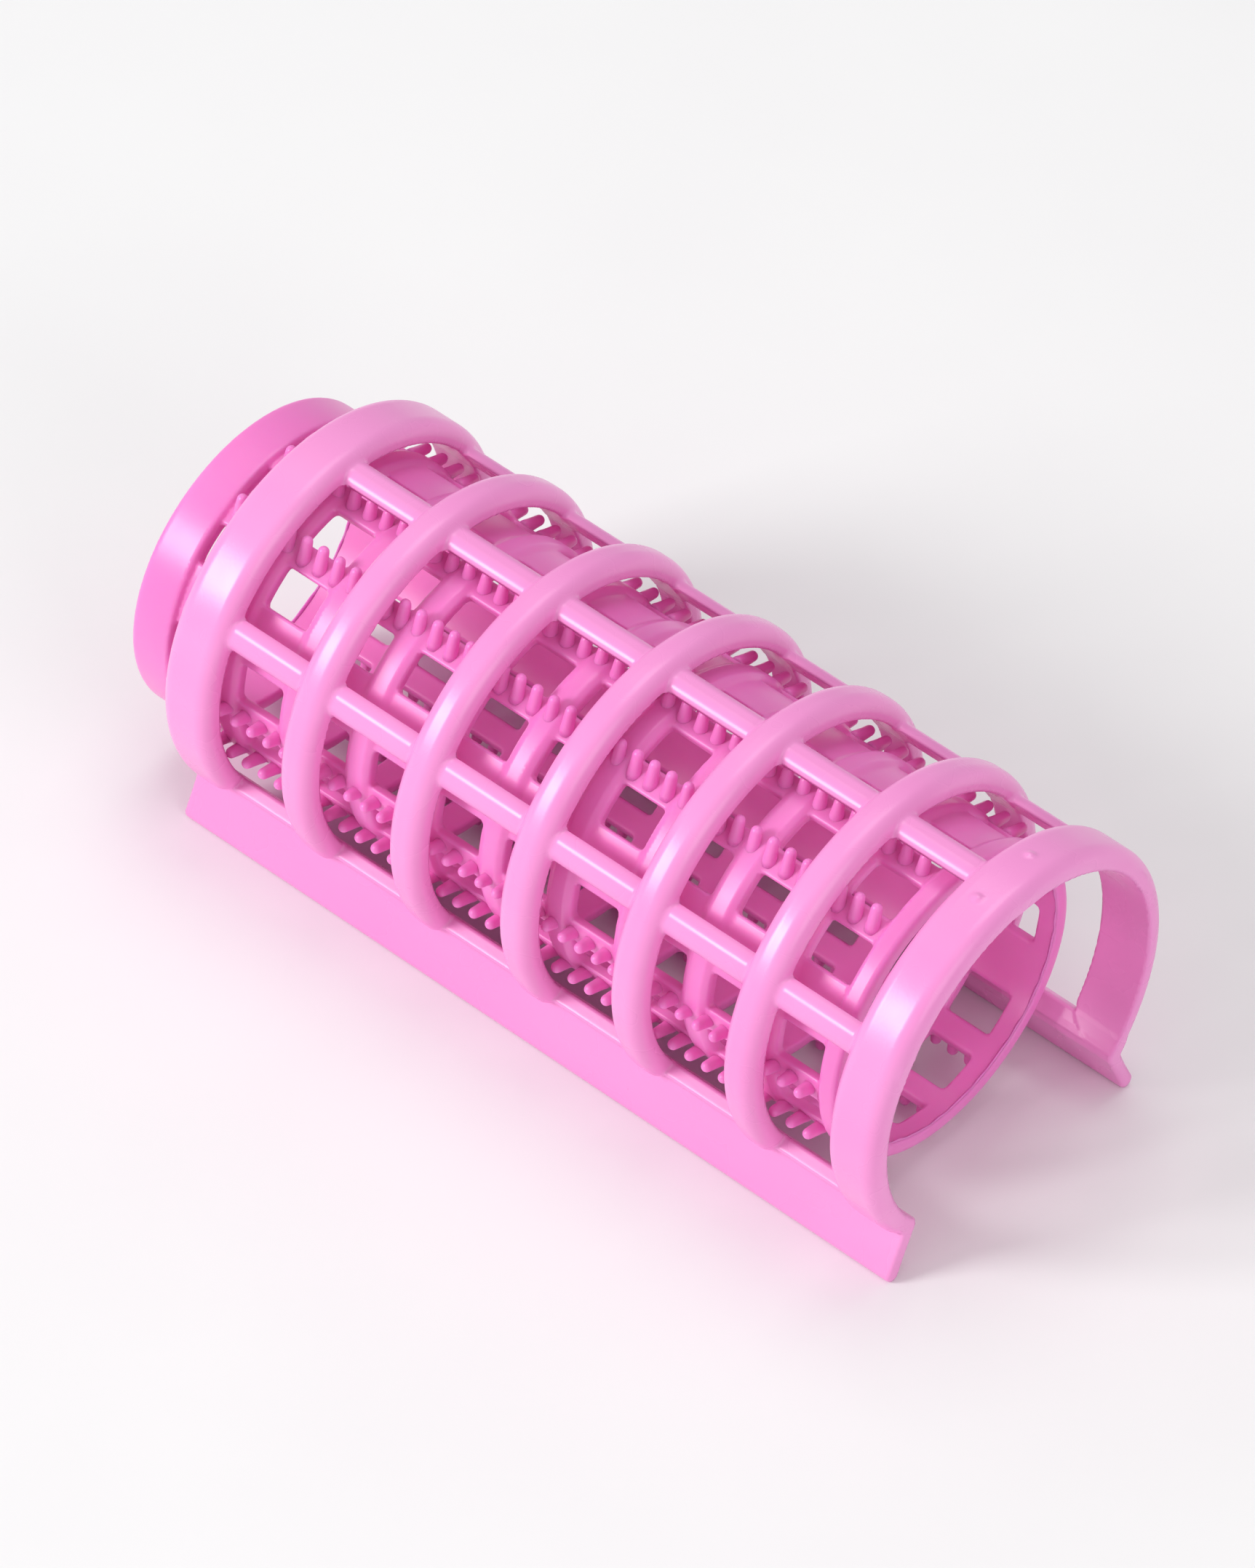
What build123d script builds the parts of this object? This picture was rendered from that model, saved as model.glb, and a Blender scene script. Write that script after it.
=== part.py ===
from build123d import *
import os
from math import atan2, cos, degrees, radians, sin, tan

# Hair roller with a clip-on cover, millimetres. X runs along the roller, +Z points up, and the
# roller stands on the two long rails of its cover. The origin is at floor height, under the
# middle of the object.

# Driving dimensions
CORE_LENGTH = 64.0
COVER_LENGTH = 64.4
CORE_STANDOUT = 5.5           # how far the core stands out of the cover at the -X end
CORE_RADIUS = 12.0
CORE_BORE_RADIUS = 10.8
COVER_RADIUS = 15.0
COVER_INNER_RADIUS = 13.4
RAIL_DROP = 12.7              # from the roller's axis down to the centre of the rail's lip

# Core grid: three columns of windows in each quarter, and a wider plain rib between quarters
QUARTERS = 4
WINDOW_ANGLES = (-25.7, 0.0, 25.7)
WINDOW_ROWS = 10
WINDOW_PITCH = 6.1
WINDOW_LENGTH = 3.8
WINDOW_WIDTH = 3.1
WINDOW_CORNER = 0.5
CORE_TURN = -16.8             # middle of the first quarter, measured from the crown towards +Y
BAND_LIP_CHAMFER = 0.35
LATTICE_RADIUS = 11.75        # the grid between the end bands is a little thinner
WIDE_BAND = 3.6               # plain end band at -X; the one at +X is narrower

# Pegs
PEGGED_RIBS = (-12.85, 12.85) # ribs that carry pegs, from the middle of a quarter
PEG_LEAN = 31.0               # all pegs of a quarter point this far past its middle
PEG_RADIUS = 0.48
PEG_PITCH = 1.5
PEGS_PER_ROW = 39
PEG_TIP_RADIUS = 13.0
PEG_ROOT_RADIUS = 11.65

# Cover cage
HOOP_COUNT = 7
HOOP_PITCH = 10.0
HOOP_WIDTH = 2.8
END_HOOP_WIDTH = 4.3
HOOP_FILLET = 0.7
HOOP_END_ANGLE = 130.7        # tip of each hoop, measured from the crown
BAR_ANGLE = 60.0
BAR_WIDTH = 2.4
BAR_RADIUS = 14.3
BAR_INNER_RADIUS = 13.3
BAR_FILLET = 0.6
FLEX_ANGLE = 30.0             # the hoops bend here when the cover is opened
FLEX_GAP = 0.3

# Rails
RAIL_THICKNESS = 1.15
RAIL_START_ANGLE = 125.0
RAIL_KINK_ANGLE = 131.0
RAIL_LIP_SPREAD = 12.1        # from the middle plane out to the centre of the lip
FOOT_DEPTH = 0.06             # the round lip has a narrow flat worn this deep

AXIS_HEIGHT = RAIL_DROP + RAIL_THICKNESS / 2 - FOOT_DEPTH
COVER_X = CORE_STANDOUT / 2
CORE_X = COVER_X - COVER_LENGTH / 2 - CORE_STANDOUT + CORE_LENGTH / 2
LATTICE_LENGTH = (WINDOW_ROWS - 1) * WINDOW_PITCH + WINDOW_LENGTH
LATTICE_X = WIDE_BAND + LATTICE_LENGTH / 2 - CORE_LENGTH / 2     # from the core's middle


def section_point(angle, radius):
    """Point in the YZ section about the roller's axis, by its angle from the crown towards +Y."""
    return radius * sin(radians(angle)), radius * cos(radians(angle))


def save(solid, node):
    solid.label = node
    export_step(solid, f"parts/{node}.step")


# ---------------------------------------------------------------- core

def core_barrel():
    """Open tube with a grid of windows between two plain end bands."""
    half = CORE_LENGTH / 2
    lattice_start = LATTICE_X - LATTICE_LENGTH / 2
    lattice_end = LATTICE_X + LATTICE_LENGTH / 2
    lip = BAND_LIP_CHAMFER
    step = CORE_RADIUS - LATTICE_RADIUS
    profile = Polyline(
        (-half, CORE_BORE_RADIUS),
        (-half, CORE_RADIUS - lip),
        (-half + lip, CORE_RADIUS),
        (lattice_start - step, CORE_RADIUS),
        (lattice_start, LATTICE_RADIUS),
        (lattice_end, LATTICE_RADIUS),
        (lattice_end + step, CORE_RADIUS),
        (half - lip, CORE_RADIUS),
        (half, CORE_RADIUS - lip),
        (half, CORE_BORE_RADIUS),
        close=True,
    )
    tube = revolve(Plane.XZ * make_face(profile), Axis.X, 360)
    slot = Rectangle(WINDOW_LENGTH, WINDOW_WIDTH)
    slot = fillet(slot.vertices(), WINDOW_CORNER)
    cutter = extrude(slot, CORE_RADIUS * 2, both=True)
    first_row = LATTICE_X - (WINDOW_ROWS - 1) / 2 * WINDOW_PITCH
    cutters = []
    for quarter in range(QUARTERS // 2):     # each cutter opens the opposite quarter as well
        for angle in WINDOW_ANGLES:
            turn = Rot(-quarter * 360 / QUARTERS - angle, 0, 0)
            for row in range(WINDOW_ROWS):
                cutters.append(turn * Pos(first_row + row * WINDOW_PITCH, 0, 0) * cutter)
    barrel = tube - cutters
    return Pos(CORE_X, 0, AXIS_HEIGHT) * Rot(-CORE_TURN, 0, 0) * barrel


def peg(length):
    """Round-tipped peg standing on the XY plane."""
    shoulder = length - PEG_RADIUS
    outline = Polyline((0, length), (0, 0), (PEG_RADIUS, 0), (PEG_RADIUS, shoulder))
    dome = CenterArc((0, shoulder), PEG_RADIUS, 0, 90)
    return revolve(Plane.XZ * make_face(outline + dome), Axis.Z, 360)


def peg_row(rib_angle, quarter_angle):
    """Row of parallel pegs along one rib, their tilted roots sunk in the core's wall."""
    lean = radians(rib_angle - PEG_LEAN)
    across = PEG_ROOT_RADIUS * sin(lean)
    root = PEG_ROOT_RADIUS * cos(lean) - PEG_RADIUS * tan(abs(lean))
    tip = (PEG_TIP_RADIUS ** 2 - across ** 2) ** 0.5
    single = peg(tip - root)
    first = LATTICE_X - (PEGS_PER_ROW - 1) / 2 * PEG_PITCH
    pegs = []
    for index in range(PEGS_PER_ROW):
        pegs.append(Pos(first + index * PEG_PITCH, across, root) * single)
    turn = Rot(-quarter_angle - PEG_LEAN, 0, 0)
    return Pos(CORE_X, 0, AXIS_HEIGHT) * turn * Compound(children=pegs)


# --------------------------------------------------------------- cover

def long_bar(angle):
    """Straight bar along the cover, with a rounded back."""
    height = BAR_RADIUS - BAR_INNER_RADIUS
    section = Pos(0, BAR_INNER_RADIUS + height / 2) * Rectangle(BAR_WIDTH, height)
    section = fillet(section.vertices().group_by(Axis.Y)[-1], BAR_FILLET)
    bar = extrude(Plane.YZ * section, COVER_LENGTH / 2, both=True)
    return Pos(COVER_X, 0, AXIS_HEIGHT) * Rot(-angle, 0, 0) * bar


def rail():
    """Plate along the +Y edge: it follows the hoops, then kinks outwards to a rounded lip."""
    inner = COVER_INNER_RADIUS
    middle = inner + RAIL_THICKNESS / 2
    outer = inner + RAIL_THICKNESS
    start, kink = RAIL_START_ANGLE, RAIL_KINK_ANGLE
    seat = make_face(
        Curve()
        + CenterArc((0, 0), inner, 90 - kink, kink - start)
        + CenterArc((0, 0), outer, 90 - kink, kink - start)
        + Line(section_point(start, inner), section_point(start, outer))
        + Line(section_point(kink, inner), section_point(kink, outer))
    )
    bend = Vector(*section_point(kink, middle))
    lip = Vector(RAIL_LIP_SPREAD, -RAIL_DROP)
    flare = SlotCenterToCenter((lip - bend).length, RAIL_THICKNESS)
    flare_angle = degrees(atan2(lip.Y - bend.Y, lip.X - bend.X))
    flare = Pos((lip + bend) / 2) * Rot(0, 0, flare_angle) * flare
    foot = Pos(RAIL_LIP_SPREAD, -AXIS_HEIGHT - RAIL_THICKNESS / 2) * Rectangle(4, RAIL_THICKNESS)
    section = seat + flare - foot
    plate = extrude(Plane.YZ * section, COVER_LENGTH / 2, both=True)
    return Pos(COVER_X, 0, AXIS_HEIGHT) * plate


def hoop_arc(width, start, end, nose):
    """Arc of one hoop at x = 0, rounded on its outside; nose makes its far end half-round."""
    thickness = COVER_RADIUS - COVER_INNER_RADIUS
    if nose:
        end -= degrees(width / 2 / COVER_RADIUS)
    section = Pos(0, COVER_INNER_RADIUS + thickness / 2) * Rectangle(width, thickness)
    section = fillet(section.vertices().group_by(Axis.Y)[-1], HOOP_FILLET)
    sector = revolve(Plane.XZ * section, Axis.X, end - start)
    arc = Pos(0, 0, AXIS_HEIGHT) * Rot(-end, 0, 0) * sector
    if nose:
        tip = Pos(0, 0, COVER_INNER_RADIUS + thickness / 2) * Cylinder(width / 2, thickness)
        ring = Cylinder(COVER_RADIUS, width, rotation=(0, 90, 0))
        ring -= Cylinder(COVER_INNER_RADIUS, width, rotation=(0, 90, 0))
        arc += Pos(0, 0, AXIS_HEIGHT) * (Rot(-end, 0, 0) * tip & ring)
    return arc


def hoop_places():
    """Name, centre and width of each hoop; the end hoops are flush with the cover's ends."""
    places = []
    for index in range(HOOP_COUNT):
        offset = (index - (HOOP_COUNT - 1) / 2) * HOOP_PITCH
        width = HOOP_WIDTH
        if index in (0, HOOP_COUNT - 1):
            width = END_HOOP_WIDTH
            offset = (COVER_LENGTH - END_HOOP_WIDTH) / 2 * (1 if index else -1)
        places.append((index + 1, COVER_X + offset, width))
    return places


def leg_pieces():
    """The +Y leg of the cover: its side bar, its rail and the free arc of every hoop."""
    side_bar = long_bar(BAR_ANGLE)
    foot_rail = rail()
    start = FLEX_ANGLE + degrees(FLEX_GAP / 2 / COVER_RADIUS)
    pieces = {"side_bar": side_bar, "rail": foot_rail}
    for number, x, width in hoop_places():
        arc = Pos(x, 0, 0) * hoop_arc(width, start, HOOP_END_ANGLE, nose=True)
        pieces[f"hoop_{number}"] = arc - side_bar - foot_rail
    return pieces


def crown_pieces():
    """The middle of the cover: its crown bar and the top arc of every hoop."""
    crown_bar = long_bar(0)
    reach = FLEX_ANGLE - degrees(FLEX_GAP / 2 / COVER_RADIUS)
    pieces = {"crown_bar": crown_bar}
    for number, x, width in hoop_places():
        arc = Pos(x, 0, 0) * hoop_arc(width, -reach, reach, nose=False)
        pieces[f"crown_hoop_{number}"] = arc - crown_bar
    return pieces


os.makedirs("parts", exist_ok=True)

save(core_barrel(), "core_barrel")
for quarter in range(QUARTERS):
    for side, rib in enumerate(PEGGED_RIBS):
        row = peg_row(rib, CORE_TURN + quarter * 360 / QUARTERS)
        save(row, f"peg_row_{2 * quarter + side + 1}")

for node, piece in crown_pieces().items():
    save(piece, node)

for node, piece in leg_pieces().items():
    save(piece, f"rear_{node}")
    save(mirror(piece, Plane.XZ), f"front_{node}")
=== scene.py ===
import math

import bmesh
import bpy
import numpy as np
from mathutils import Matrix, Vector


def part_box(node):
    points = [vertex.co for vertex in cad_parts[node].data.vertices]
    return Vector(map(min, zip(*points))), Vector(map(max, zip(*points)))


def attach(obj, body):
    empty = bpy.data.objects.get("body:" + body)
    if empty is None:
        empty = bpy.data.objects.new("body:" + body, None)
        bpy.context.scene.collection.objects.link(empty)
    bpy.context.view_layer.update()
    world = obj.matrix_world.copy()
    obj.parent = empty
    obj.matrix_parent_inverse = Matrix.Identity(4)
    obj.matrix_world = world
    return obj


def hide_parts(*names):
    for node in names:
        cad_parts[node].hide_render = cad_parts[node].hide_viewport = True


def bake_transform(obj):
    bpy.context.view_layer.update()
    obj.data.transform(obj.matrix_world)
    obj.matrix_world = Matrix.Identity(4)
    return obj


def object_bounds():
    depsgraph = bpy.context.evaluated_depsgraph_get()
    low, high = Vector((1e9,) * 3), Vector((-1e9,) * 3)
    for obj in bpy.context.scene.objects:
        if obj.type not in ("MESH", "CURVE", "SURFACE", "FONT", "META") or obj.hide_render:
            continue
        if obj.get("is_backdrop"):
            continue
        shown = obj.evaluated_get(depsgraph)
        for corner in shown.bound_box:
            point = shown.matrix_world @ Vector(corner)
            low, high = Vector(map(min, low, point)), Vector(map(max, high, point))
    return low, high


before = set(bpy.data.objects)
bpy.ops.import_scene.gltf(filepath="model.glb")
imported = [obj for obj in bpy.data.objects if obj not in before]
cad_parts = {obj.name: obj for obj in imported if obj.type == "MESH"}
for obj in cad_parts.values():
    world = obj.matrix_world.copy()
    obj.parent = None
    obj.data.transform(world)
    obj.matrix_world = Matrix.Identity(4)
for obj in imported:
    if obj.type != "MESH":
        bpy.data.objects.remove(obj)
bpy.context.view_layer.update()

# A hair roller with a clip-on cover. The CAD frame is in metres, and the shapes below are worked
# out in millimetres: X runs along the roller, and angles are measured round its axis, from the
# crown towards +Y.
MM = 0.001

# Places and sizes read from the CAD nodes
core_low, core_high = (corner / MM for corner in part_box("core_barrel"))
bar_low, bar_high = (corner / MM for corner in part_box("crown_bar"))
hoop_low, hoop_high = (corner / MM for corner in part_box("crown_hoop_4"))
peg_low, peg_high = (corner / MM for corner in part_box("peg_row_1"))
AXIS_HEIGHT = (core_low.z + core_high.z) / 2
CORE_X = (core_low.x + core_high.x) / 2
CORE_HALF = (core_high.x - core_low.x) / 2
CORE_RADIUS = (core_high.z - core_low.z) / 2
PEGS_X = (peg_low.x + peg_high.x) / 2
COVER_X = (bar_low.x + bar_high.x) / 2
COVER_HALF = (bar_high.x - bar_low.x) / 2
COVER_RADIUS = hoop_high.z - AXIS_HEIGHT

# Core: bore, end bands and grid of windows
BORE_RADIUS = 10.8
WIDE_BAND = 3.6
END_LIP = 0.45
QUARTERS = 4
QUARTER = 360 / QUARTERS
QUARTER_TURN = -16.8          # middle of the first quarter
COLUMN_STEP = 25.7
ROWS = 10
ROW_PITCH = 6.1
WINDOW_HALF_LENGTH = 1.9
WINDOW_HALF_WIDTH = 1.55
WINDOW_CORNER = 0.3
FIRST_ROW = WIDE_BAND + WINDOW_HALF_LENGTH - CORE_HALF
LAST_ROW = FIRST_ROW + (ROWS - 1) * ROW_PITCH
RIB_RADIUS = 11.62            # the grid's ribs lie a little below its rings
RING_RADIUS = 11.93           # crest of the raised rings between the rows of windows
RING_RAMP = 0.75              # width of the slope up to a ring
BAND_RAMP = 0.5               # width of the slope up to an end band
RAMP_OVERLAP = 0.1            # both slopes start this far inside the windows
BORE_EASE = 0.25
WINDOW_EASE = 0.24

# Pegs, and the flash round the bore
PEGGED_RIBS = (-12.85, 12.85)
PEG_LEAN = 31.0
PEG_PITCH = 1.5
PEGS_PER_ROW = 39
PEG_ROOT_RADIUS = 11.65
PEG_TIP_RADIUS = 13.0
PEG_SUNK = 0.45               # length of the root inside the wall
PEG_NECK_HEIGHT = 0.75
PEG_FOOT, PEG_NECK, PEG_DOME = 0.52, 0.47, 0.4     # a peg's radii, from its root up
PEG_SIDES = 20
FLASH_INSET = 0.14            # the flash lies just inside the end lip
FLASH_STEPS = 720

# Cover: hoops, bars and rails
INNER_RADIUS = 13.4
INNER_EASE = 0.2
HOOP_PITCH = 10.0
LAST_HOOP = 3                 # hoops are counted both ways from the middle one
HOOP_HALF_WIDTH = 1.4
HOOP_BACK = 1.1               # round along the hoops' outside edges
HOOP_TIP = 1.38               # corner of a hoop's finger end
END_HOOP_HALF_WIDTH = 2.15
END_HOOP_TIP = 2.6
HOOP_END_ANGLE = 130.7
BAR_ANGLE = 60.0
BAR_RADIUS = 14.3
BAR_HALF_WIDTH = 1.25
BAR_BACK = 0.62
BAR_LEAN = 0.38               # how fast the flanks of a bar lean in
LEAN_SHORTENING = 0.93        # turns the lean's sideways measure back into a distance
BAR_EASE = 0.15
RAIL_HALF_THICKNESS = 0.575
RAIL_SEAT = (125.0, 131.0)
RAIL_LIP = (12.1, -12.7)
RAIL_HOLLOW = 0.05            # the flare's faces are very slightly hollow
RAIL_EASE = 0.25              # round along the seat and inside the kink
BAR_END, RAIL_END = 0.25, 0.3                      # rounds at the cover's two ends
CAGE_FILLET, RAIL_FILLET, NUB_FILLET = 0.3, 0.22, 0.2
NUB_INSET, NUB_ASIDE, NUB_SUNK, NUB_RADIUS = 2.3, 2.7, 0.25, 0.42
FOOT_EASE = 0.06

# Grid that the moulded skins are worked out on
CORE_GRID, COVER_GRID = ((0.24, 0.22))
GRID_MARGIN = 0.7


# ------------------------------------------------------------ moulded skins

def union(a, b, fillet):
    """Joins two distance fields, with a fillet of about that many mm where they meet."""
    near = np.maximum(fillet - np.abs(a - b), 0) / fillet
    return np.minimum(a, b) - near * near * fillet / 4


def cut(a, b, fillet):
    """Keeps what is inside both fields, with the edge between them eased by about that many mm."""
    return -union(-a, -b, fillet)


def rounded(a, b, radius):
    """Keeps what is inside both fields, with a true round of that radius on the edge."""
    a = a + radius
    b = b + radius
    outside = np.hypot(np.maximum(a, 0), np.maximum(b, 0))
    return outside + np.minimum(np.maximum(a, b), 0) - radius


def ramp(share):
    """Smooth climb from 0 to 1 as share does."""
    share = np.clip(share, 0, 1)
    return share * share * (3 - 2 * share)


def slope(field, points):
    """Gradient of a distance field."""
    reach = 0.01
    parts = []
    for axis in np.eye(3) * reach:
        parts.append((field(points + axis) - field(points - axis)) / (2 * reach))
    return np.column_stack(parts)


def pull_to_skin(field, points, held=None):
    """Moves points exactly onto the field's surface; those in held stay in the plane y = 0."""
    longest_step = 0.15
    least_slope = 0.2             # stops a point from flying off where the field is nearly level
    for _ in range(4):
        gradient = slope(field, points)
        if held is not None:
            gradient[held, 1] = 0
        steepness = np.maximum((gradient ** 2).sum(1), least_slope)
        step = np.clip(field(points) / steepness, -longest_step, longest_step)
        points = points - gradient * step[:, None]
    return points


def skin(field, low, high, pitch):
    """Closed mesh of quads where the field is zero, with one vertex in each grid cell it crosses."""
    xs, ys, zs = (
        np.arange(a - GRID_MARGIN, b + GRID_MARGIN + pitch, pitch) for a, b in zip(low, high)
    )
    plane_y, plane_z = (part.ravel() for part in np.meshgrid(ys, zs, indexing="ij"))
    value = []
    for x in xs:
        plane = np.column_stack((np.full(plane_y.size, x), plane_y, plane_z))
        value.append(field(plane).reshape(ys.size, zs.size))
    value = np.array(value)
    inside = value < 0
    filled = np.zeros(tuple(size - 1 for size in inside.shape), int)
    for corner in np.ndindex(2, 2, 2):
        window = tuple(slice(c, size - 1 + c) for c, size in zip(corner, inside.shape))
        filled += inside[window]
    cells = np.argwhere((filled > 0) & (filled < 8))
    number = np.full(filled.shape, -1)
    number[tuple(cells.T)] = np.arange(len(cells))

    # a cell's vertex is the mean of the places where its edges cross the surface
    steps = np.eye(3, dtype=int)
    total = np.zeros((len(cells), 3))
    crossings = np.zeros(len(cells))
    for axis in range(3):
        for corner in np.ndindex(2, 2, 2):
            if corner[axis]:
                continue
            start = cells + corner
            end = start + steps[axis]
            first, last = value[tuple(start.T)], value[tuple(end.T)]
            crossed = (first < 0) != (last < 0)
            share = np.where(crossed, first / np.where(crossed, first - last, 1), 0)
            total += (start + share[:, None] * (end - start)) * crossed[:, None]
            crossings += crossed
    points = total / crossings[:, None] * pitch + np.array((xs[0], ys[0], zs[0]))

    # each grid edge that crosses the surface makes a quad from the four cells round it
    faces = []
    for axis in range(3):
        side, up = steps[(axis + 1) % 3], steps[(axis + 2) % 3]
        before = np.take(inside, range(inside.shape[axis] - 1), axis)
        after = np.take(inside, range(1, inside.shape[axis]), axis)
        edges = np.argwhere(before != after)
        loop = [number[tuple((edges - shift).T)] for shift in (0 * side, side, side + up, up)]
        loop = np.column_stack(loop)
        outward = before[tuple(edges.T)]
        faces.append(np.where(outward[:, None], loop, loop[:, ::-1]))
    return points, np.vstack(faces).tolist()


def mesh_piece(name, points, faces):
    """Smooth-shaded object from points in mm."""
    mesh = bpy.data.meshes.new(name)
    mesh.from_pydata((points * MM).tolist(), [], faces)
    mesh.update()
    mesh.shade_smooth()
    piece = bpy.data.objects.new(name, mesh)
    bpy.context.scene.collection.objects.link(piece)
    return piece


def coordinates(mesh):
    """The mesh's vertices, in mm."""
    co = np.zeros(len(mesh.vertices) * 3)
    mesh.vertices.foreach_get("co", co)
    return co.reshape(-1, 3) / MM


def true_normals(mesh, field):
    """Shades the mesh with the field's own normals, so that it has no facets and no seam."""
    normals = slope(field, coordinates(mesh))
    normals /= np.linalg.norm(normals, axis=1)[:, None]
    mesh.normals_split_custom_set_from_vertices(normals.tolist())


# -------------------------------------------------------------------- core

def round_axis(points, middle):
    """Distance along X from the middle, then radius and angle round the roller's axis."""
    x = points[:, 0] - middle
    y = points[:, 1]
    z = points[:, 2] - AXIS_HEIGHT
    return x, np.hypot(y, z), np.degrees(np.arctan2(y, z))


def core_field(points):
    """Open tube with raised rings, eased windows and rounded end lips."""
    x, radius, angle = round_axis(points, CORE_X)
    row = np.clip(np.round((x - FIRST_ROW) / ROW_PITCH), 0, ROWS - 1)
    along = np.abs(x - FIRST_ROW - row * ROW_PITCH) - WINDOW_HALF_LENGTH
    in_quarter = (angle - QUARTER_TURN + QUARTER / 2) % QUARTER - QUARTER / 2
    column = np.clip(np.round(in_quarter / COLUMN_STEP), -1, 1)
    across = radius * np.sin(np.radians(in_quarter - column * COLUMN_STEP))
    window = rounded(along, np.abs(across) - WINDOW_HALF_WIDTH, WINDOW_CORNER)

    top = RIB_RADIUS + (RING_RADIUS - RIB_RADIUS) * ramp((along + RAMP_OVERLAP) / RING_RAMP)
    past_grid = np.maximum(FIRST_ROW - x, x - LAST_ROW) - WINDOW_HALF_LENGTH
    top = top + (CORE_RADIUS - top) * ramp((past_grid + RAMP_OVERLAP) / BAND_RAMP)

    wall = rounded(radius - top, np.abs(x) - CORE_HALF, END_LIP)
    wall = cut(wall, BORE_RADIUS - radius, BORE_EASE)
    return cut(wall, -window, WINDOW_EASE)


def peg_profile(length):
    """Radius and height of a slightly tapered peg, from its sunk root to its round tip."""
    shoulder = length - PEG_DOME
    profile = [(PEG_FOOT, 0.0), (PEG_FOOT, PEG_SUNK), (PEG_NECK, PEG_NECK_HEIGHT), (PEG_DOME, shoulder)]
    for turn in map(math.radians, (20, 40, 60, 78)):
        profile.append((PEG_DOME * math.cos(turn), shoulder + PEG_DOME * math.sin(turn)))
    return profile


def peg_row(name, rib_angle, quarter_angle):
    """Row of parallel pegs along one rib of the core."""
    lean = math.radians(rib_angle - PEG_LEAN)
    across = PEG_ROOT_RADIUS * math.sin(lean)
    root = PEG_ROOT_RADIUS * math.cos(lean) - PEG_SUNK
    tip = math.sqrt(PEG_TIP_RADIUS ** 2 - across ** 2)
    profile = peg_profile(tip - root)
    ring = [2 * math.pi * side / PEG_SIDES for side in range(PEG_SIDES)]
    turn = Matrix.Rotation(-math.radians(quarter_angle + PEG_LEAN), 3, "X")
    points = []
    faces = []
    for index in range(PEGS_PER_ROW):
        base = len(points)
        x = PEGS_X + (index - (PEGS_PER_ROW - 1) / 2) * PEG_PITCH
        for radius, height in profile:
            for a in ring:
                place = turn @ Vector((0, across + radius * math.sin(a), root + height))
                points.append((x + radius * math.cos(a), place.y, place.z + AXIS_HEIGHT))
        for level in range(len(profile) - 1):
            start = base + level * PEG_SIDES
            for side in range(PEG_SIDES):
                here = start + side
                right = start + (side + 1) % PEG_SIDES
                faces.append((here, here + PEG_SIDES, right + PEG_SIDES, right))
        top = base + (len(profile) - 1) * PEG_SIDES
        faces.append(tuple(range(base, base + PEG_SIDES)))
        faces.append(tuple(reversed(range(top, top + PEG_SIDES))))
    return mesh_piece(name, np.array(points), faces)


def rim_flash(name, x, inward):
    """Wafer-thin, ragged flash round the bore, where the mould's core pin met its end plate."""
    ragged = np.random.default_rng(7)         # both ends get the same ragged line
    angles = np.linspace(0, 2 * math.pi, FLASH_STEPS, endpoint=False)
    reach = np.full(FLASH_STEPS, 0.1)
    for waves in (3, 7, 13, 22, 31, 47):
        reach += ragged.uniform(0.01, 0.05) * np.sin(waves * angles + ragged.uniform(0, 2 * math.pi))
    reach = np.clip(reach, 0.02, 0.3)
    section = (
        (x, np.full(FLASH_STEPS, BORE_RADIUS + 0.12)),
        (x, BORE_RADIUS - reach),
        (x + 0.05 * inward, BORE_RADIUS - reach * 0.9),
        (x + 0.25 * inward, np.full(FLASH_STEPS, BORE_RADIUS + 0.05)),
    )
    points = []
    for along, radius in section:
        y, z = radius * np.sin(angles), radius * np.cos(angles)
        points.append(np.column_stack((np.full(FLASH_STEPS, along), y, z + AXIS_HEIGHT)))
    here = np.arange(FLASH_STEPS)
    after = (here + 1) % FLASH_STEPS
    faces = []
    for level in range(len(section)):
        low = level * FLASH_STEPS
        high = (level + 1) % len(section) * FLASH_STEPS
        loop = np.column_stack((low + here, high + here, high + after, low + after))
        faces.append(loop if inward > 0 else loop[:, ::-1])
    return mesh_piece(name, np.vstack(points), np.vstack(faces).tolist())


# ------------------------------------------------------------------- cover

def hoop_field(x, radius, angle):
    """The seven hoops: round backs, flat insides, and finger ends that lie on the rails."""
    number = np.clip(np.round(x / HOOP_PITCH), -LAST_HOOP, LAST_HOOP)
    is_end = np.abs(number) == LAST_HOOP
    half = np.where(is_end, END_HOOP_HALF_WIDTH, HOOP_HALF_WIDTH)
    end_middle = np.sign(number) * (COVER_HALF - END_HOOP_HALF_WIDTH)
    middle = np.where(is_end, end_middle, number * HOOP_PITCH)
    # an end hoop's outer face is flush with the cover's end, and only the other corner of its
    # tip is rounded
    aside = np.where(is_end, (middle - x) * np.sign(number), np.abs(x - middle))
    past_tip = np.radians(angle - HOOP_END_ANGLE) * COVER_RADIUS
    outline = np.where(
        is_end,
        np.maximum(rounded(aside - half, past_tip, END_HOOP_TIP), -aside - half),
        rounded(aside - half, past_tip, HOOP_TIP),
    )
    back = rounded(outline, radius - COVER_RADIUS, HOOP_BACK)
    return cut(back, INNER_RADIUS - radius, INNER_EASE)


def bar_field(x, radius, angle, bar_angle):
    """Long bar with a roof-like rounded back."""
    turn = np.radians(angle - bar_angle)
    height = radius * np.cos(turn)
    half_width = BAR_HALF_WIDTH - BAR_LEAN * (height - INNER_RADIUS)
    flank = (np.abs(radius * np.sin(turn)) - half_width) * LEAN_SHORTENING
    back = rounded(flank, height - BAR_RADIUS, BAR_BACK)
    back = rounded(back, np.abs(x) - COVER_HALF, BAR_END)
    return cut(back, INNER_RADIUS - height, BAR_EASE)


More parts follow.
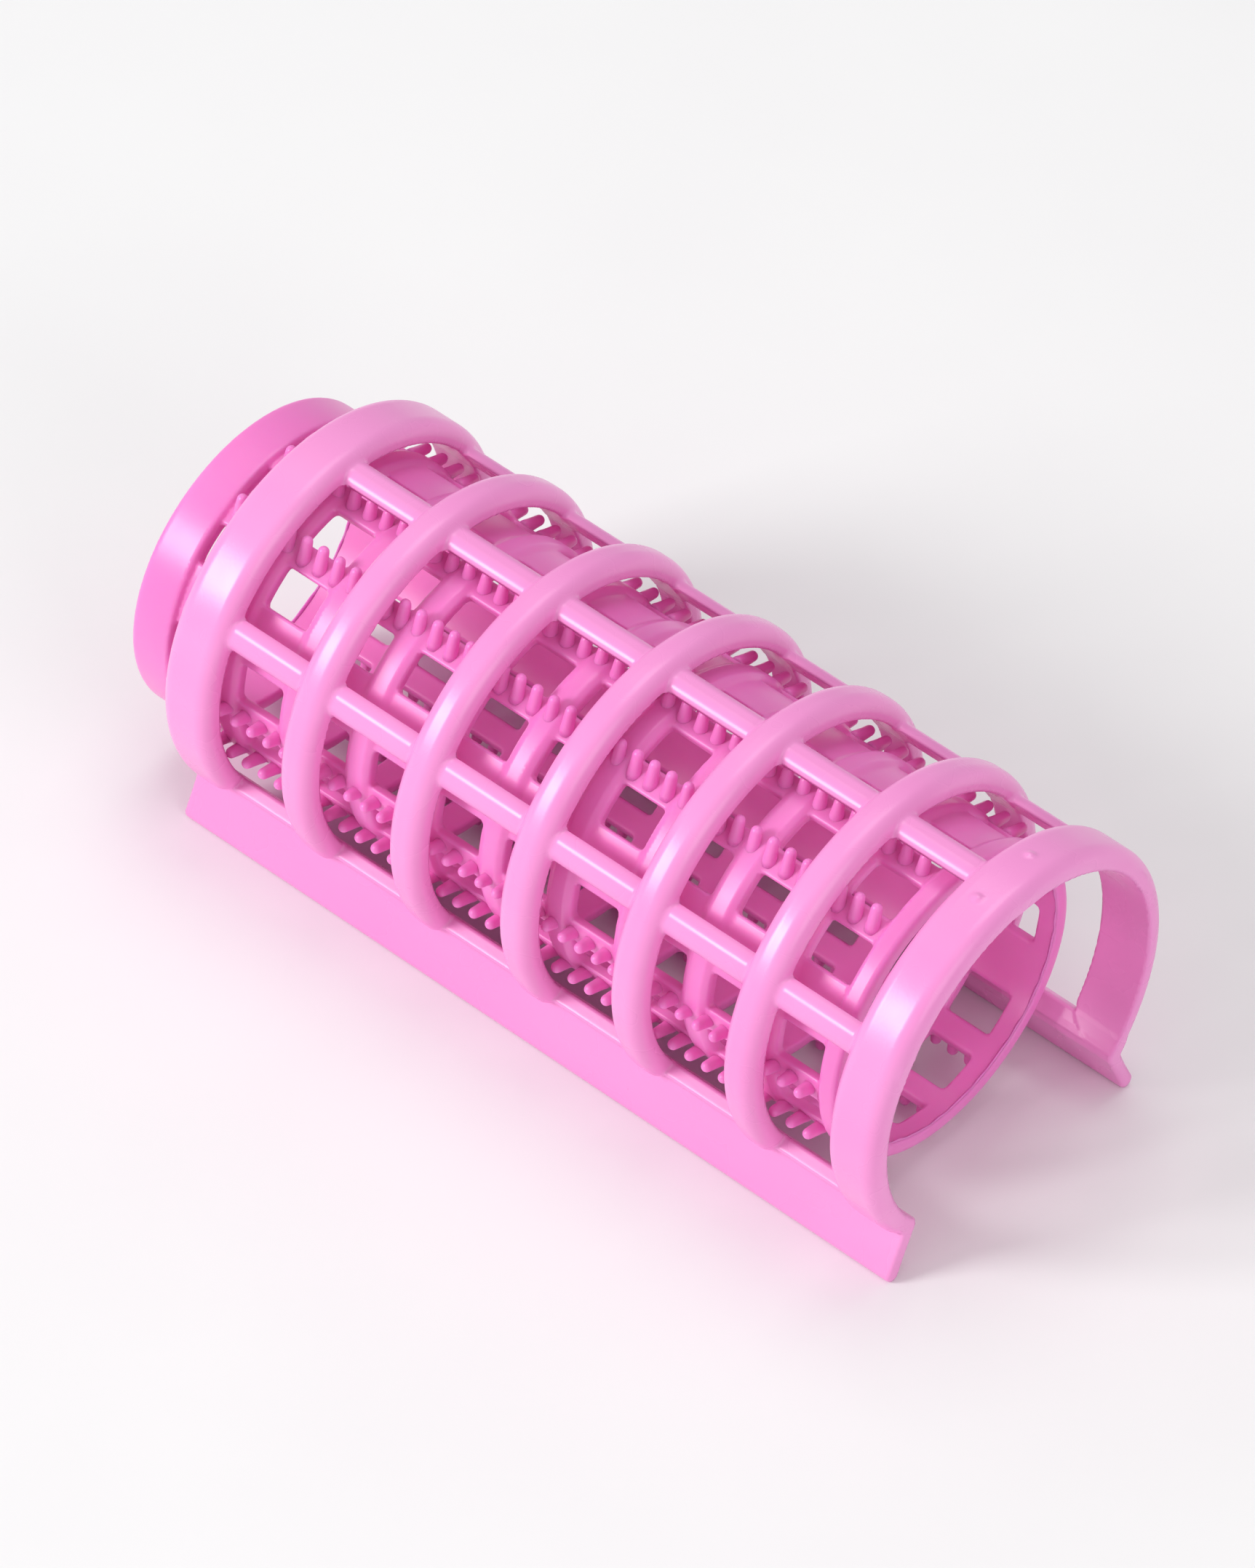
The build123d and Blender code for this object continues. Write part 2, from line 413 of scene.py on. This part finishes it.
def rail_field(x, y, z):
    """Plate that follows the hoops down, kinks outwards and ends in a round lip."""
    middle = INNER_RADIUS + RAIL_HALF_THICKNESS
    top, bend = (
        np.array((middle * math.sin(a), middle * math.cos(a))) for a in map(math.radians, RAIL_SEAT)
    )
    place = np.column_stack((y, z))

    run = bend - top
    length = np.linalg.norm(run)
    run /= length
    along = (place - top) @ run
    aside = np.abs((place - top) @ np.array((-run[1], run[0])))
    seat = rounded(aside - RAIL_HALF_THICKNESS, -along, RAIL_EASE)
    seat = np.maximum(seat, along - length)

    run = np.array(RAIL_LIP) - bend
    share = np.clip((place - bend) @ run / (run @ run), 0, 1)
    away = np.linalg.norm(place - bend - share[:, None] * run, axis=1)
    flare = away - RAIL_HALF_THICKNESS + RAIL_HOLLOW * np.sin(np.pi * share)
    plate = union(seat, flare, RAIL_EASE)
    return rounded(plate, np.abs(x) - COVER_HALF, RAIL_END)


def cover_field(points):
    """The whole cover as one moulding; both sides are alike."""
    x, radius, angle = round_axis(points, COVER_X)
    y = np.abs(points[:, 1])
    angle = np.abs(angle)
    hoops = hoop_field(x, radius, angle)
    bars = np.minimum(bar_field(x, radius, angle, 0), bar_field(x, radius, angle, BAR_ANGLE))
    cage = union(hoops, bars, CAGE_FILLET)
    rails = rail_field(x, y, points[:, 2] - AXIS_HEIGHT)
    cover = union(cage, rails, RAIL_FILLET)

    # low nubs each side of the crown on one end hoop, where the sprues were cut off
    away = (x - COVER_HALF + NUB_INSET, y - NUB_ASIDE, radius - COVER_RADIUS + NUB_SUNK)
    nub = np.sqrt(sum(part ** 2 for part in away)) - NUB_RADIUS
    cover = union(cover, nub, NUB_FILLET)
    # the fillets swell flush faces a little, so the ends are trimmed last, and then the feet
    cover = np.maximum(cover, np.abs(x) - COVER_HALF)
    return cut(cover, -points[:, 2], FOOT_EASE)


def cover_half(name, side, points, faces):
    """The part of the cover on the +Y or -Y side of the crown, closed where the halves meet."""
    piece = mesh_piece(name, points, faces)
    mesh = piece.data
    shape = bmesh.new()
    shape.from_mesh(mesh)
    bmesh.ops.bisect_plane(
        shape,
        geom=shape.verts[:] + shape.edges[:] + shape.faces[:],
        dist=1e-6,
        plane_co=(0, 0, 0),
        plane_no=(0, -side, 0),
        clear_outer=True,
    )
    rim = [edge for edge in shape.edges if edge.is_boundary]
    bmesh.ops.holes_fill(shape, edges=rim, sides=0)
    shape.to_mesh(mesh)
    shape.free()
    co = coordinates(mesh)
    seam = np.abs(co[:, 1]) < 0.002
    co = pull_to_skin(cover_field, co, held=seam)
    mesh.vertices.foreach_set("co", (co * MM).ravel())
    mesh.update()
    mesh.shade_smooth()
    true_normals(mesh, cover_field)
    return piece


# --------------------------------------------------------------- materials

def linear(hex_colour):
    """Linear RGBA from an sRGB hex value."""
    parts = [int(hex_colour[i:i + 2], 16) / 255 for i in (1, 3, 5)]
    return tuple(c / 12.92 if c <= 0.04045 else ((c + 0.055) / 1.055) ** 2.4 for c in parts) + (1.0,)


def add_node(material, kind, settings, links):
    """Adds a node; settings go to its properties or input values, links to its input sockets."""
    tree = material.node_tree
    node = tree.nodes.new(kind)
    for name, value in settings.items():
        if isinstance(name, str) and hasattr(node, name):
            setattr(node, name, value)
        else:
            node.inputs[name].default_value = value
    for name, socket in links.items():
        tree.links.new(socket, node.inputs[name])
    return node


def moulded_polypropylene(name, body, pale, gloss, glow):
    """Injection-moulded pink polypropylene.

    Pigmented but slightly see-through: where it has glow, thin edges light up and shadows stay
    pink. The mould was finely eroded, which breaks highlights into a soft satin, and the melt
    leaves faint lighter streaks along the flow.
    """
    material = bpy.data.materials.new(name)
    material.use_nodes = True
    material.node_tree.nodes.clear()
    place = add_node(material, "ShaderNodeTexCoord", {}, {}).outputs["Object"]

    # melt streaks, about 9 mm apart and three times as long, along the roller
    drawn = add_node(
        material, "ShaderNodeMapping",
        {"Scale": (0.33, 1, 1)}, {"Vector": place},
    ).outputs[0]
    streaks = add_node(
        material, "ShaderNodeTexNoise",
        {"Scale": 1 / (9 * MM), "Detail": 3.0, "Roughness": 0.5}, {"Vector": drawn},
    ).outputs["Fac"]
    colour = add_node(material, "ShaderNodeValToRGB", {}, {"Fac": streaks})
    dark_end, pale_end = colour.color_ramp.elements
    dark_end.position, dark_end.color = 0.2, linear(body)
    pale_end.position, pale_end.color = 0.8, linear(pale)

    # gloss varies in patches about 4 mm across, where the skin froze sooner or later
    patches = add_node(
        material, "ShaderNodeTexNoise",
        {"Scale": 1 / (4 * MM), "Detail": 2.0}, {"Vector": place},
    ).outputs["Fac"]
    roughness = add_node(
        material, "ShaderNodeMapRange",
        {"From Min": 0.1, "From Max": 0.9, "To Min": gloss - 0.07, "To Max": gloss + 0.08},
        {"Value": patches},
    ).outputs[0]

    # eroded mould grain; the real grain is about 0.05 mm, drawn at 0.3 mm so that it shows
    grain = add_node(
        material, "ShaderNodeTexNoise",
        {"Scale": 1 / (0.3 * MM), "Detail": 2.0, "Roughness": 0.6}, {"Vector": place},
    ).outputs["Fac"]
    relief = add_node(
        material, "ShaderNodeBump",
        {"Strength": 0.3, "Distance": 0.012 * MM}, {"Height": grain},
    ).outputs[0]

    surface = add_node(
        material, "ShaderNodeBsdfPrincipled",
        {
            "IOR": 1.49,
            "Subsurface Weight": glow,
            "Subsurface Radius": (1.0, 0.45, 0.8),
            "Subsurface Scale": 0.6 * MM,
        },
        {"Base Color": colour.outputs["Color"], "Roughness": roughness, "Normal": relief},
    )
    add_node(material, "ShaderNodeOutputMaterial", {}, {"Surface": surface.outputs[0]})
    return material


# the core is the same plastic as the cover, but its pinks are set a little deeper: painted shade, for
# the core lying inside the cover
core_plastic = moulded_polypropylene("polypropylene_moulded_core", "#F27CCB", "#F78ED4", 0.32, 0.45)
# the cover gets no glow, because light that scatters inside each half would darken their seam
cover_plastic = moulded_polypropylene("polypropylene_moulded_cover", "#F590D2", "#F89EDA", 0.27, 0.0)


# ------------------------------------------------------------------ pieces

def finish_piece(piece, material):
    """Gives a piece its material."""
    piece.data.materials.append(material)


core_points, core_faces = skin(core_field, core_low, core_high, CORE_GRID)
core_barrel = mesh_piece("core_barrel_moulded", pull_to_skin(core_field, core_points), core_faces)
true_normals(core_barrel.data, core_field)
finish_piece(core_barrel, core_plastic)
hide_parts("core_barrel")
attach(core_barrel, "core")

for number, inward in ((1, 1), (3, -1)):
    rim_x = CORE_X - inward * (CORE_HALF - FLASH_INSET)
    flash = rim_flash(f"core_rim_flash_{number}", rim_x, inward)
    finish_piece(flash, core_plastic)
    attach(flash, "core")

for quarter in range(QUARTERS):
    for side, rib_angle in enumerate(PEGGED_RIBS):
        number = 2 * quarter + side + 1
        pegs = peg_row(f"pegs_moulded_{number}", rib_angle, QUARTER_TURN + QUARTER * quarter)
        finish_piece(pegs, core_plastic)
        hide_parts(f"peg_row_{number}")
        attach(pegs, "core")

cover_points, cover_faces = skin(
    cover_field,
    (COVER_X - COVER_HALF, -COVER_RADIUS, 0),
    (COVER_X + COVER_HALF, COVER_RADIUS, AXIS_HEIGHT + COVER_RADIUS),
    COVER_GRID,
)
hoop_numbers = range(1, 2 * LAST_HOOP + 2)
crown_nodes = ["crown_bar"] + [f"crown_hoop_{number}" for number in hoop_numbers]
for half_name, side in (("front", -1), ("rear", 1)):
    half = cover_half(f"cover_moulded_{half_name}", side, cover_points, cover_faces)
    finish_piece(half, cover_plastic)
    own_nodes = [f"{half_name}_side_bar", f"{half_name}_rail"]
    own_nodes += [f"{half_name}_hoop_{number}" for number in hoop_numbers]
    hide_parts(*crown_nodes, *own_nodes)
    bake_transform(half)


# ----------------------------------------------- floor, light and camera

def paper_sweep():
    """Matt white paper, as used under still lifes; very slightly mottled."""
    material = bpy.data.materials.new("paper_matt_white")
    material.use_nodes = True
    material.node_tree.nodes.clear()
    place = add_node(material, "ShaderNodeTexCoord", {}, {}).outputs["Object"]
    mottle = add_node(
        material, "ShaderNodeTexNoise",
        {"Scale": 1 / (25 * MM), "Detail": 4.0}, {"Vector": place},
    ).outputs["Fac"]
    colour = add_node(material, "ShaderNodeValToRGB", {}, {"Fac": mottle})
    colour.color_ramp.elements[0].color = linear("#F2F1F2")
    colour.color_ramp.elements[1].color = linear("#F7F7F7")
    surface = add_node(
        material, "ShaderNodeBsdfPrincipled",
        {"Roughness": 0.85}, {"Base Color": colour.outputs["Color"]},
    )
    add_node(material, "ShaderNodeOutputMaterial", {}, {"Surface": surface.outputs[0]})
    return material


floor_mesh = bpy.data.meshes.new("floor")
floor_mesh.from_pydata([(-2, -2, 0), (2, -2, 0), (2, 2, 0), (-2, 2, 0)], [], [(0, 1, 2, 3)])
floor_mesh.materials.append(paper_sweep())
floor = bpy.data.objects.new("floor", floor_mesh)
floor.location.z = -0.02 * MM         # a hair below the feet, so that no faces coincide
bpy.context.scene.collection.objects.link(floor)
floor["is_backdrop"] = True


def soft_box(name, place, size, watts):
    """Square area light that faces the roller."""
    light = bpy.data.lights.new(name, "AREA")
    light.size = size
    light.energy = watts
    lamp = bpy.data.objects.new(name, light)
    lamp.location = place
    lamp.rotation_euler = Vector(place).to_track_quat("Z", "Y").to_euler()
    bpy.context.scene.collection.objects.link(lamp)


soft_box("key_soft_box", (-0.5, -0.75, 0.5), 0.35, 6.0)
soft_box("fill_soft_box", (0.75, -0.2, 0.4), 0.5, 1.5)
soft_box("top_soft_box", (-0.1, 0.25, 0.9), 0.5, 1.9)

world = bpy.data.worlds.new("studio")
world.use_nodes = True
background = world.node_tree.nodes["Background"]
background.inputs["Color"].default_value = linear("#FFFFFF")
background.inputs["Strength"].default_value = 0.5
bpy.context.scene.world = world
bpy.context.scene.view_settings.view_transform = "Standard"

CAMERA_DISTANCE = 0.7725
CAMERA_RIGHT = (0.746, 0.665, 0.02)
CAMERA_UP = (-0.484, 0.521, 0.703)
camera_data = bpy.data.cameras.new("camera")
camera_data.lens = 262
camera_data.clip_start = 0.01
camera = bpy.data.objects.new("camera", camera_data)
right = Vector(CAMERA_RIGHT).normalized()
back = right.cross(Vector(CAMERA_UP)).normalized()
up = back.cross(right)
low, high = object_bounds()
camera.matrix_world = (
    Matrix.Translation((low + high) / 2 + back * CAMERA_DISTANCE)
    @ Matrix((right, up, back)).transposed().to_4x4()
)
bpy.context.scene.collection.objects.link(camera)
bpy.context.scene.camera = camera
